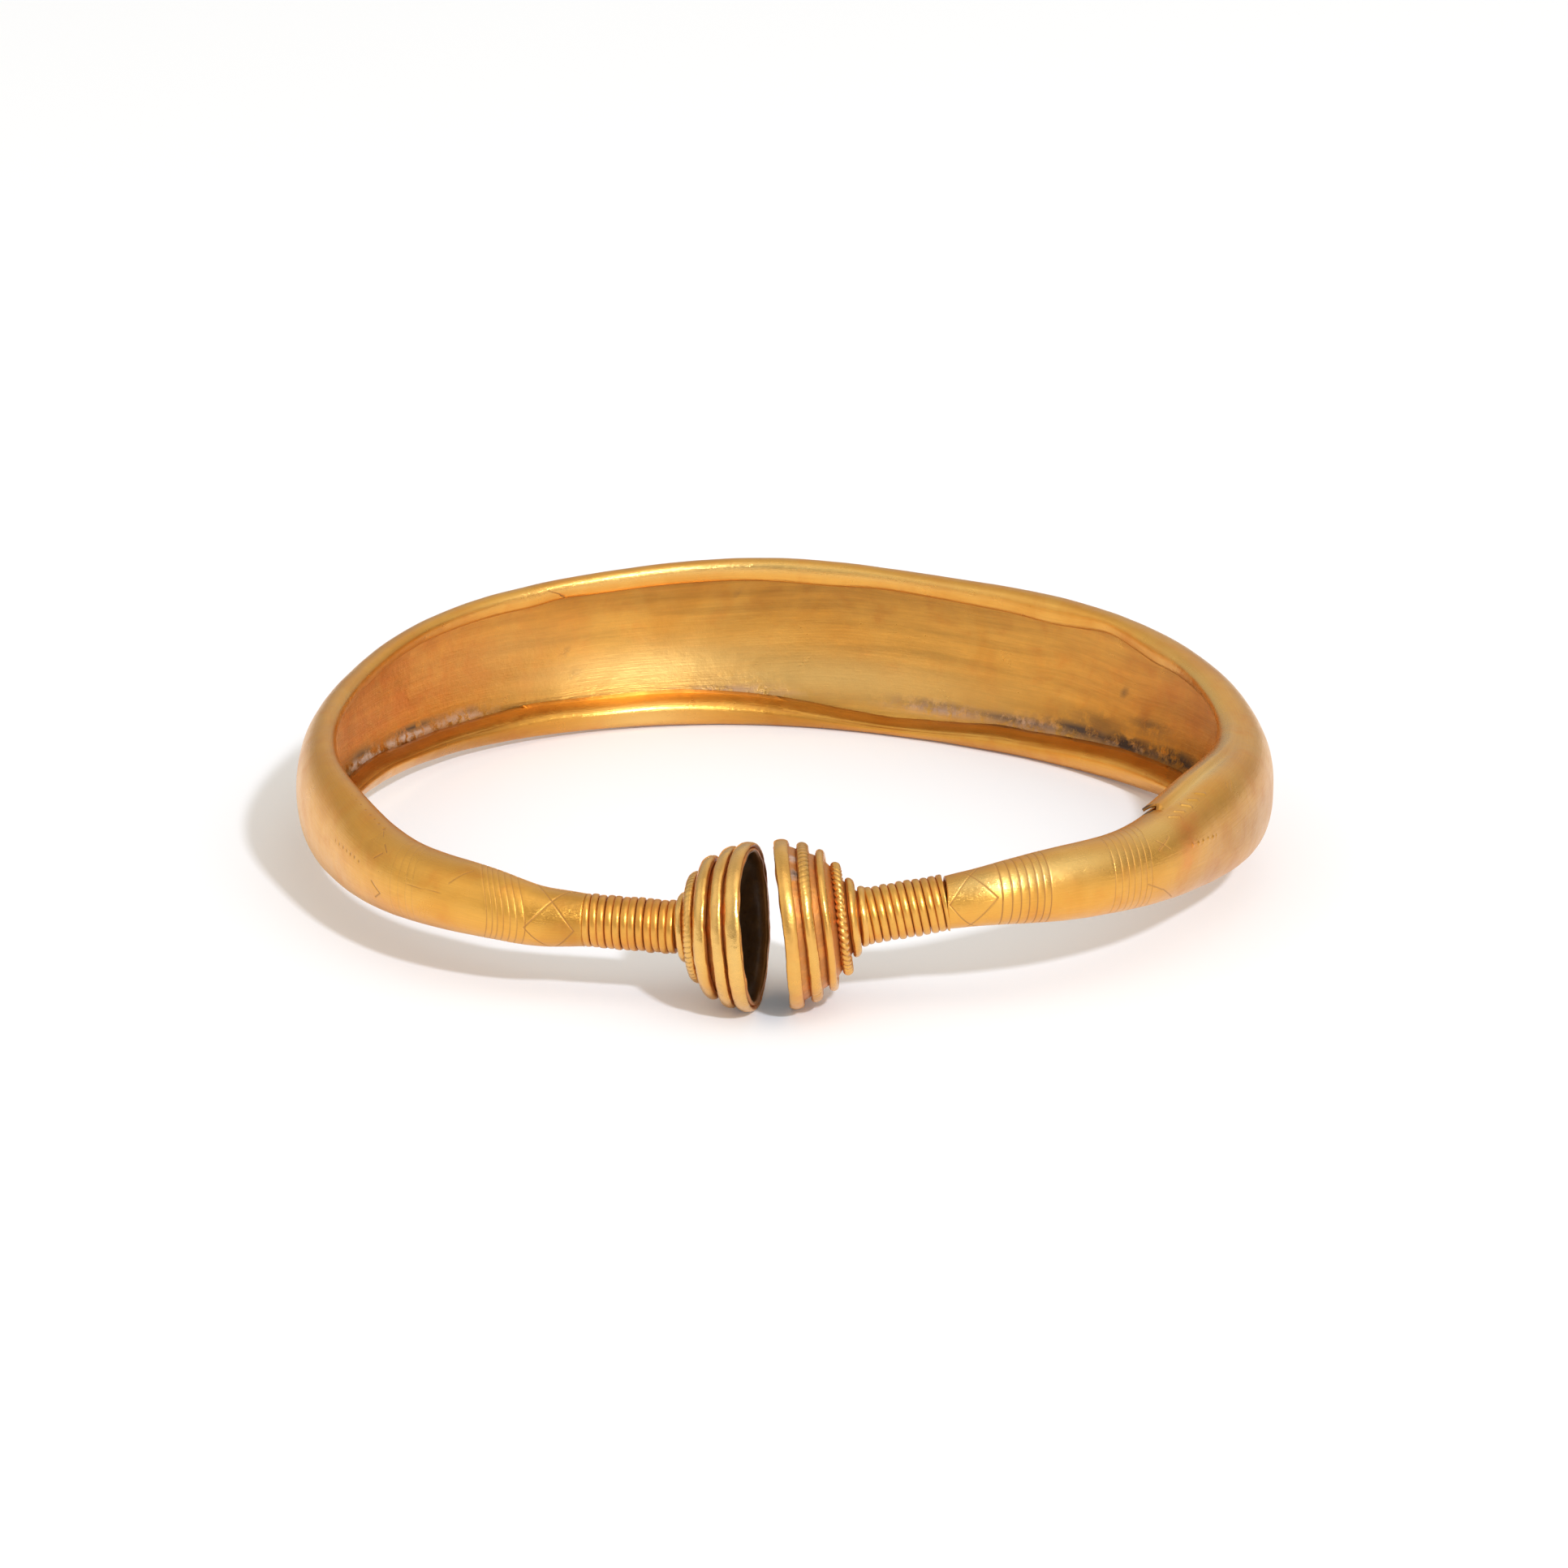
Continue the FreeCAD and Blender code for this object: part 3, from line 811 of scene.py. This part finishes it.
def hoop_piece():
    """The sheet given its thickness, scored, beaten a little uneven and rolled up."""
    bm = flat_sheet()
    bmesh.ops.recalc_face_normals(bm, faces=bm.faces)
    if next(iter(bm.faces)).normal.z < 0:
        bmesh.ops.reverse_faces(bm, faces=bm.faces)
    bmesh.ops.solidify(bm, geom=list(bm.faces), thickness=SHEET)
    unbowed = points_of(bm)
    if unbowed[:, 2].max() > SHEET / 2:
        unbowed[:, 2] -= unbowed[:, 2].max()
    outside = unbowed[:, 2] > -SHEET / 2
    flat = bowed(unbowed)
    angle, _ = flat_numbers(flat)
    depth, seen = scoring(unbowed, flat)
    depth = np.clip(depth, -1, SHEET * 0.6)
    rolled = roll_up(flat)
    waves = 0.055 * rough(rolled, 7.0) + 0.022 * rough(rolled, 2.6, 1)
    inner_waves = 0.09 * rough(rolled, 6.0, 2) + 0.035 * rough(rolled, 2.2, 3)
    flat[:, 2] += np.where(outside, waves - depth, inner_waves)
    flat[:, 2] += strip_rise(flat[:, 0], angle)

    laid_flat = bm.loops.layers.uv.new("laid_flat")
    for face in bm.faces:
        for loop in face.loops:
            loop[laid_flat].uv = loop.vert.co.xy
    write_masks(bm, hoop_masks(flat, angle, outside, seen))
    for vert, point in zip(bm.verts, roll_up(flat)):
        vert.co = point
    bmesh.ops.scale(bm, vec=(MM, MM, MM), verts=bm.verts)
    bm.normal_update()
    finish_mesh(bm, "hoop_sheet", HOOP_GOLD, "hoop")


# Cups


# Wires round the cups: name, place of the wire's middle along the cup's axis and out from it, how
# far it leans back in degrees, its width and thickness, how it is worked, and its marks round the cup
PLAIN, ROPED, TWISTED, FLAT = "plain", "roped", "twisted", "flat"
FLAT_MARKS = 96
LEFT_RINGS = (
    ("rim", 1.10, 12.05, 3.5, 2.20, RIM_WIRE, PLAIN, 0),
    ("flat", 3.65, 11.27, 20, 1.90, 1.30, FLAT, 0),
    ("thick", 6.50, 9.67, 36, 2.35, 1.62, PLAIN, 0),
    ("rope", 8.60, 7.35, 49, 1.95, 1.58, ROPED, 58),
    ("step", 10.40, 4.55, 44, 1.45, 1.25, PLAIN, 0),
)
RIGHT_RINGS = (
    ("rim", 1.04, 12.05, 3.3, 2.10, RIM_WIRE, PLAIN, 0),
    ("rope", 4.05, 11.08, 24, 1.80, 1.30, ROPED, 74),
    ("plain", 6.55, 9.80, 40, 1.35, 1.20, PLAIN, 0),
    ("twist", 8.70, 7.65, 50, 1.40, 1.30, TWISTED, 46),
    ("step", 10.40, 5.25, 48, 1.45, 1.14, FLAT, 0),
    ("collar", 11.90, 3.95, 28, 1.30, 0.95, PLAIN, 0),
)


# Grey spots in the right cup's first groove: place along the axis, degrees round it, size, strength
CUP_STAINS = (
    ("crust", 2.6, 101.7, 4.5, 2.0),
    ("crust", 2.6, 121.0, 5.5, 2.0),
    ("soil_and_painted_shade", 2.7, 119.0, 3.5, 1.0),
)
STAIN_REACH = 0.55


def bell_line(cup, rings):
    """The bell's outside, from its mouth along the seats of its wires to its foot: x and radius."""
    rows = [(0.0, RIM_DIAMETER / 2 - RIM_WIRE - 0.05)]
    for _, x, out, lean_deg, _, thickness, _, _ in rings:
        lean = math.radians(lean_deg)
        sunk = thickness / 2 - 0.04
        rows.append((x - math.sin(lean) * sunk, out - math.cos(lean) * sunk))
    rows.append((cup.depth, cup.stem_radius))
    rows = np.array(rows)
    steps = np.linalg.norm(np.diff(rows, axis=0), axis=1)
    return Spline(np.concatenate([[0.0], np.cumsum(steps)]), rows)


def dents(cup, x, turn):
    """How a cup's hand-beaten mouth strays: along its axis and outwards, less towards the stem."""
    fading = np.clip(1 - x / cup.depth, 0, 1) ** 1.5
    start = 0.7 if cup.side < 0 else 2.1
    forward = 0.16 * np.sin(2 * turn + start) + 0.09 * np.sin(3 * turn + 2 * start)
    outward = 0.13 * np.sin(2 * turn + 1.9 * start) + 0.07 * np.sin(5 * turn + start)
    return forward * fading, outward * fading


def spin_about_stem(bm, steps, angle=FULL_TURN, rise=0.0):
    """Turns all there is about the X axis, with a rise along it for each step."""
    geometry = list(bm.verts) + list(bm.edges)
    bmesh.ops.spin(
        bm,
        geom=geometry,
        cent=(0, 0, 0),
        axis=(1, 0, 0),
        dvec=(rise, 0, 0),
        angle=angle,
        steps=steps,
        use_merge=abs(angle - FULL_TURN) < 1e-6 and rise == 0,
    )


def around(points):
    """Place along the axis, radius and turn of each point."""
    return points[:, 0], np.hypot(points[:, 1], points[:, 2]), np.arctan2(points[:, 2], points[:, 1])


def cup_piece(cup, rings, name, node):
    """The beaten bell with its floor, and its stem bent to the line of the neck."""
    bell = bell_line(cup, rings)
    outer, slopes = bell.at(np.linspace(0, bell.knots[-1], 34))
    ways = slopes / np.linalg.norm(slopes, axis=1)[:, None]
    normals = np.stack([-ways[:, 1], ways[:, 0]], axis=1)
    floor = cup.depth - FLOOR_THICKNESS
    inner = [p - n * CUP_SHEET for p, n in zip(outer, normals) if p[0] < floor - 1.2]
    inner.append((floor - 0.35, STEM_BORE / 2 - 0.3))
    inner.append((floor, 0.0))
    tucked = cup.depth + cup.neck_length + 4.0
    stem, bore = cup.stem_radius, STEM_BORE / 2
    joint = cup.depth + 0.6
    back = [(joint, stem), (tucked, stem), (tucked, bore), (joint, bore), (joint, 0.0)]
    bm = bmesh.new()
    wall = [bm.verts.new((x, out, 0)) for x, out in [*inner[::-1], *outer, *back]]
    for first, second in zip(wall, wall[1:]):
        bm.edges.new((first, second))
    spin_about_stem(bm, 160)
    bmesh.ops.remove_doubles(bm, verts=bm.verts, dist=0.001)
    bmesh.ops.recalc_face_normals(bm, faces=bm.faces)
    points = points_of(bm)
    x, out, turn = around(points)
    forward, outward = dents(cup, x, turn)
    lip = 0.05 * np.sin(11 * turn + cup.side) + 0.04 * np.sin(17 * turn)
    forward = forward + lip * hump(0, 0.6, x)
    beaten = 0.05 * rough(points, 2.2, 4 + cup.side)
    wanted_out = np.maximum(out + (outward + beaten) * (out > 3.4), 0)
    scale = np.where(out > 1e-6, wanted_out / np.maximum(out, 1e-6), 1)
    outside_radius = np.interp(x, outer[:, 0], outer[:, 1])
    inside = (out < outside_radius - CUP_SHEET * 0.5) & (x < cup.depth - 0.5)
    masks = {
        "soil_and_painted_shade": np.where(inside, 0.35 * smooth(0.0, 1.6, x), 0.22),
        "crust": np.where(inside, 0.05, 0.12),
        "copper": np.where(inside, 0.5, 0.75),
        "scored": np.where(inside, 0.3, 0.12),
        # Dark brown over the inside, from just within the mouth
        "cup_inside_dark": np.where(inside, smooth(-0.6, 1.4, x), 0.0),
        "inside": np.where(inside, 1.0, 0.0),
    }
    stains = CUP_STAINS if cup.side > 0 else ()
    for stain, place, spot_deg, size_deg, strength in stains:
        far = (np.degrees(turn) - spot_deg + 180) % 360 - 180
        patch = strength * hump(place, STAIN_REACH, x) * hump(0, size_deg, far) * ~inside
        masks[stain] = np.maximum(masks[stain], patch)
    write_masks(bm, masks)
    to_cup = placing(cup.mouth, cup.back)
    to_neck = placing(cup.foot, cup.neck)
    for i, vert in enumerate(bm.verts):
        spot = Vector((points[i][0] + forward[i], points[i][1] * scale[i], points[i][2] * scale[i]))
        if x[i] > cup.depth + 0.1:
            vert.co = to_neck @ (spot - Vector((cup.depth, 0, 0)))
        else:
            vert.co = to_cup @ spot
    finish_mesh(bm, name, CUP_GOLD, node)


def worked_wire(cup, worked, marks, points, turn, facing, seed):
    """How thick a wire's cuts leave it at each point, as a share, and how dark they are."""
    top = np.clip(np.sin(facing), 0, 1)
    if worked == TWISTED:
        strand = np.abs(np.cos(marks * turn / 2 + facing))
        return 0.68 + 0.44 * strand**0.8, smooth(0.35, 0.0, strand) * 0.75
    if worked == ROPED:
        worn = 0.45 + 0.55 * smooth(-0.35, 0.25, rough(points, 5.0, seed))
        if cup.side > 0:
            worn = worn * smooth(0.5, 0.9, np.abs(np.sin(turn)))
        phase = np.cos(marks * turn - 1.9 * facing)
        cut = smooth(0.72, 1.0, phase) * worn * smooth(0.05, 0.5, top)
        return 1 - 0.16 * cut, cut * 0.55
    if worked == FLAT:
        phase = np.cos(FLAT_MARKS * turn - 1.2 * facing)
        cut = smooth(0.9, 1.0, phase) * smooth(0.1, 0.45, rough(points, 4.0, seed))
        return 1 - 0.10 * top**6 - 0.05 * cut * top, cut * top * 0.35
    return np.ones(len(points)), np.zeros(len(points))


def ring_piece(cup, side_name, ring, seed):
    """One wire laid round a cup, leaning with the bell's wall."""
    name, along, out_to, lean_deg, width, thickness, worked, marks = ring
    middle = Vector((along, out_to, 0))
    lean = math.radians(lean_deg)
    bm = bmesh.new()
    bmesh.ops.create_circle(bm, segments=22, radius=1.0)
    shaped = Matrix.Diagonal((width / 2, thickness / 2, 1, 1))
    leaned = Matrix.Translation(middle) @ Matrix.Rotation(-lean, 4, "Z")
    bmesh.ops.transform(bm, matrix=leaned @ shaped, verts=bm.verts)
    spin_about_stem(bm, max(180, marks * 8))
    bmesh.ops.recalc_face_normals(bm, faces=bm.faces)
    points = points_of(bm)
    x, out, turn = around(points)
    across = (x - middle.x) * math.cos(lean) - (out - middle.y) * math.sin(lean)
    above = (x - middle.x) * math.sin(lean) + (out - middle.y) * math.cos(lean)
    facing = np.arctan2(above / thickness, across / width)
    strands, scored = worked_wire(cup, worked, marks, points, turn, facing, seed)
    uneven = 1 + 0.09 * rough(points, 3.0, seed) + 0.05 * rough(points, 0.9, seed + 1)
    across = across * strands * uneven
    above = above * strands * uneven
    forward, outward = dents(cup, x, turn)
    sway = 0.09 * np.sin(turn + seed) + 0.06 * np.sin(3 * turn + 2 * seed)
    new_x = middle.x + across * math.cos(lean) + above * math.sin(lean) + forward + sway
    new_out = middle.y - across * math.sin(lean) + above * math.cos(lean) + outward
    sunk = smooth(0.35, -0.25, np.sin(facing))
    masks = {
        "soil_and_painted_shade": 0.30 * sunk + 0.05,
        "crust": 0.12 * sunk,
        "copper": 0.85 * sunk + 0.10,
        "scored": scored,
        # Painted highlight: the wire's upper side paler, more so on the left cup
        "polish_and_painted_highlight": (0.8 if cup.side < 0 else 0.35) * np.clip(np.sin(facing), 0, 1),
    }
    write_masks(bm, masks)
    for i, vert in enumerate(bm.verts):
        vert.co = (new_x[i], new_out[i] * math.cos(turn[i]), new_out[i] * math.sin(turn[i]))
    bmesh.ops.transform(bm, matrix=placing(cup.mouth, cup.back), verts=bm.verts)
    finish_mesh(bm, f"{side_name}_{name}_wire", RING_GOLD, f"{side_name}_{name}_ring")


# Neck bindings


def binding_piece(cup, side_name, turns, thickness, flatness, wander, seed):
    """One wire wound round a neck, its turns pressed together and its two ends worked flat."""
    pitch = (cup.neck_length + 0.5) / turns
    width = pitch * 0.985
    radius = cup.stem_radius + 0.02 + thickness / 2
    low, high = -0.45, cup.neck_length + 0.05
    start = low - width / 2
    turns += 1
    bm = bmesh.new()
    bmesh.ops.create_circle(bm, segments=18, radius=1.0)
    bmesh.ops.transform(bm, matrix=Matrix.Diagonal((width / 2, thickness / 2, 1, 1)), verts=bm.verts)
    for vert in bm.verts:
        x, y = vert.co.x / (width / 2), vert.co.y / (thickness / 2)
        reach = (abs(x) ** flatness + abs(y) ** flatness) ** (-1 / flatness)
        vert.co.x *= reach
        vert.co.y *= reach
    bmesh.ops.translate(bm, vec=(start, radius, 0), verts=bm.verts)
    steps = int(turns * 36)
    spin_about_stem(bm, steps, FULL_TURN * turns, pitch * turns / steps)
    ends = [e for e in bm.edges if e.is_boundary]
    bmesh.ops.holes_fill(bm, edges=ends, sides=0)
    bmesh.ops.recalc_face_normals(bm, faces=bm.faces)
    points = points_of(bm)
    x, out, turn = around(points)
    wound = np.round((x - start) / pitch - turn / FULL_TURN) + turn / FULL_TURN
    across = x - start - wound * pitch
    above = out - radius
    top = smooth(-0.1, 0.8, above / (thickness / 2))
    unwound = np.stack([wound * FULL_TURN * radius, across, above], axis=1)
    press = wander * rough(np.stack([wound * 9.0, wound * 0, wound * 0], axis=1), 2.0, seed)
    creep = 0.5 * wander * rough(np.stack([wound * 7.0, wound * 0, wound * 0], axis=1), 3.0, seed + 1)
    x = np.where(x < low, low + (x - low) * 0.03, x)
    x = np.where(x > high, high + (x - high) * 0.03, x)
    lines = 0.025 * rough(unwound * np.array([0.25, 2.2, 1.0]), 0.5, seed + 2)
    new_out = out + (press + lines) * top
    sunk = smooth(0.25, -0.45, above / (thickness / 2))
    edge = smooth(0.60, 1.0, np.abs(across) / (width / 2))
    masks = {
        "soil_and_painted_shade": 0.35 * edge * smooth(0.9, 0.1, top) + 0.04,
        "copper": 0.75 * np.maximum(sunk, edge * 0.8) + 0.08,
        "scored": 0.45 * edge,
    }
    write_masks(bm, masks)
    for i, vert in enumerate(bm.verts):
        place = min(max(x[i] + creep[i], low), high)
        vert.co = (place, new_out[i] * math.cos(turn[i]), new_out[i] * math.sin(turn[i]))
    bmesh.ops.transform(bm, matrix=placing(cup.foot, cup.neck), verts=bm.verts)
    finish_mesh(bm, f"{side_name}_neck_wire", BINDING_GOLD, f"{side_name}_binding")


hoop_piece()
cup_piece(LEFT, LEFT_RINGS, "left_bell", "left_cup")
cup_piece(RIGHT, RIGHT_RINGS, "right_bell", "right_cup")
for number, ring in enumerate(LEFT_RINGS):
    ring_piece(LEFT, "left", ring, 3 + number)
for number, ring in enumerate(RIGHT_RINGS):
    ring_piece(RIGHT, "right", ring, 13 + number)
binding_piece(LEFT, "left", 12, 0.92, 3.0, 0.24, 31)
binding_piece(RIGHT, "right", 10, 1.02, 2.5, 0.14, 37)


# The ground, the light and the camera

GROUND_COLOUR = (0.92, 0.91, 0.90)
GROUND_GLOW = (0.055, 0.075, 0.088)
GROUND_RADIUS = 4.0

# The pale room round the torc: towards each direction, the slants between which it brightens, and
# how bright it gets
ROOM_COLOUR = (1.0, 0.96, 0.90)
ROOM_LIGHT = (
    ((0.0, 0.0, 1.0), 0.30, 0.90, 0.49),
    ((-1.0, 0.0, 0.0), 0.20, 0.90, 0.42),
    ((0.0, -1.0, 0.0), 0.20, 0.90, 0.38),
    ((1.0, 0.0, 0.0), 0.30, 0.90, 0.17),
    ((0.0, 1.0, 0.0), 0.30, 0.90, 0.30),
    ((0.74, -0.35, 0.57), 0.72, 0.98, 0.50),
    ((0.6, 0.65, 0.47), 0.70, 0.98, 0.24),
    ((0.0, 0.9, 0.43), 0.85, 0.98, 0.16),
    ((-0.8, -0.2, 0.55), 0.75, 0.98, 0.38),
    ((0.42, -0.84, 0.34), 0.88, 0.98, 0.62),
    ((0.1, -0.15, 0.98), 0.90, 0.99, 0.85),
)

# The one hard light, high at the right of the camera
KEY_PLACE = Vector((1.26, -2.55, 2.46))
KEY_SIZE = 0.26
KEY_POWER = 74.0
KEY_COLOUR = (0.95, 1.02, 1.16)

CAMERA_AIM = Vector((-0.00005, 0.0024, 0.013))
CAMERA_RISE_DEG = 19.5
CAMERA_DISTANCE = 1.1
CAMERA_LENS = 163.46


def white_ground():
    """Pale ground that shows white and keeps the torc's shadow."""
    ground = Finish("pale_ground")
    ground.set(Base_Color=GROUND_COLOUR, Roughness=0.8, Specular_IOR_Level=0.05)
    path = ground.add("ShaderNodeLightPath").outputs
    shown = ground.sum("MAXIMUM", path["Is Glossy Ray"], path["Is Transmission Ray"])
    seen = ground.sum("MAXIMUM", path["Is Camera Ray"], ground.sum("MULTIPLY", shown, 0.3))
    glow = ground.add("ShaderNodeEmission", {"Color": GROUND_GLOW, "Strength": seen})
    both = ground.add("ShaderNodeAddShader", {0: ground.shader.outputs[0], 1: glow.outputs[0]})
    ground.feed(ground.tree.nodes["Material Output"].inputs["Surface"], both.outputs[0])
    bm = bmesh.new()
    bmesh.ops.create_circle(bm, cap_ends=True, segments=96, radius=GROUND_RADIUS)
    mesh = bpy.data.meshes.new("ground")
    bm.to_mesh(mesh)
    bm.free()
    floor = bpy.data.objects.new("ground", mesh)
    bpy.context.scene.collection.objects.link(floor)
    mesh.materials.append(ground.material)


def studio_air():
    """Pale air for the camera, and for the light a room that is brighter towards some sides."""
    world = bpy.data.worlds.new("studio_air")
    bpy.context.scene.world = world
    world.use_nodes = True
    air = Nodes(world.node_tree)
    way = air.add("ShaderNodeTexCoord").outputs["Generated"]
    strength = 0.0
    for direction, start, end, most in ROOM_LIGHT:
        slant = air.add("ShaderNodeVectorMath", {0: way, 1: direction}, operation="DOT_PRODUCT")
        ends = {"Value": slant.outputs["Value"], "From Min": start, "From Max": end, "To Max": most}
        share = air.add("ShaderNodeMapRange", ends).outputs["Result"]
        strength = air.sum("ADD", share, strength)
    light = air.tree.nodes["Background"]
    air.feed(light.inputs["Color"], ROOM_COLOUR)
    air.feed(light.inputs["Strength"], strength)
    pale = air.add("ShaderNodeBackground")
    seen = air.add("ShaderNodeLightPath").outputs["Is Camera Ray"]
    both = air.add("ShaderNodeMixShader", {0: seen, 1: light.outputs[0], 2: pale.outputs[0]})
    air.feed(air.tree.nodes["World Output"].inputs["Surface"], both.outputs[0])


def key_light():
    lamp = bpy.data.lights.new("key_light", "AREA")
    lamp.shape = "SQUARE"
    lamp.size = KEY_SIZE
    lamp.energy = KEY_POWER
    lamp.color = KEY_COLOUR
    holder = bpy.data.objects.new("key_light", lamp)
    holder.location = KEY_PLACE
    holder.rotation_euler = (-KEY_PLACE).to_track_quat("-Z", "Y").to_euler()
    bpy.context.scene.collection.objects.link(holder)


def camera():
    """The photograph's view: level sides, seen from the front and a little above."""
    raised = math.radians(CAMERA_RISE_DEG)
    back = Vector((0, -math.cos(raised), math.sin(raised)))
    lens = bpy.data.cameras.new("camera")
    lens.sensor_width = 36.0
    lens.lens = CAMERA_LENS
    lens.clip_start, lens.clip_end = 0.05, 20.0
    holder = bpy.data.objects.new("camera", lens)
    holder.location = CAMERA_AIM + back * CAMERA_DISTANCE
    holder.rotation_euler = (math.pi / 2 - raised, 0, 0)
    bpy.context.scene.collection.objects.link(holder)
    bpy.context.scene.camera = holder


white_ground()
studio_air()
key_light()
camera()
bpy.context.scene.view_settings.view_transform = "Standard"
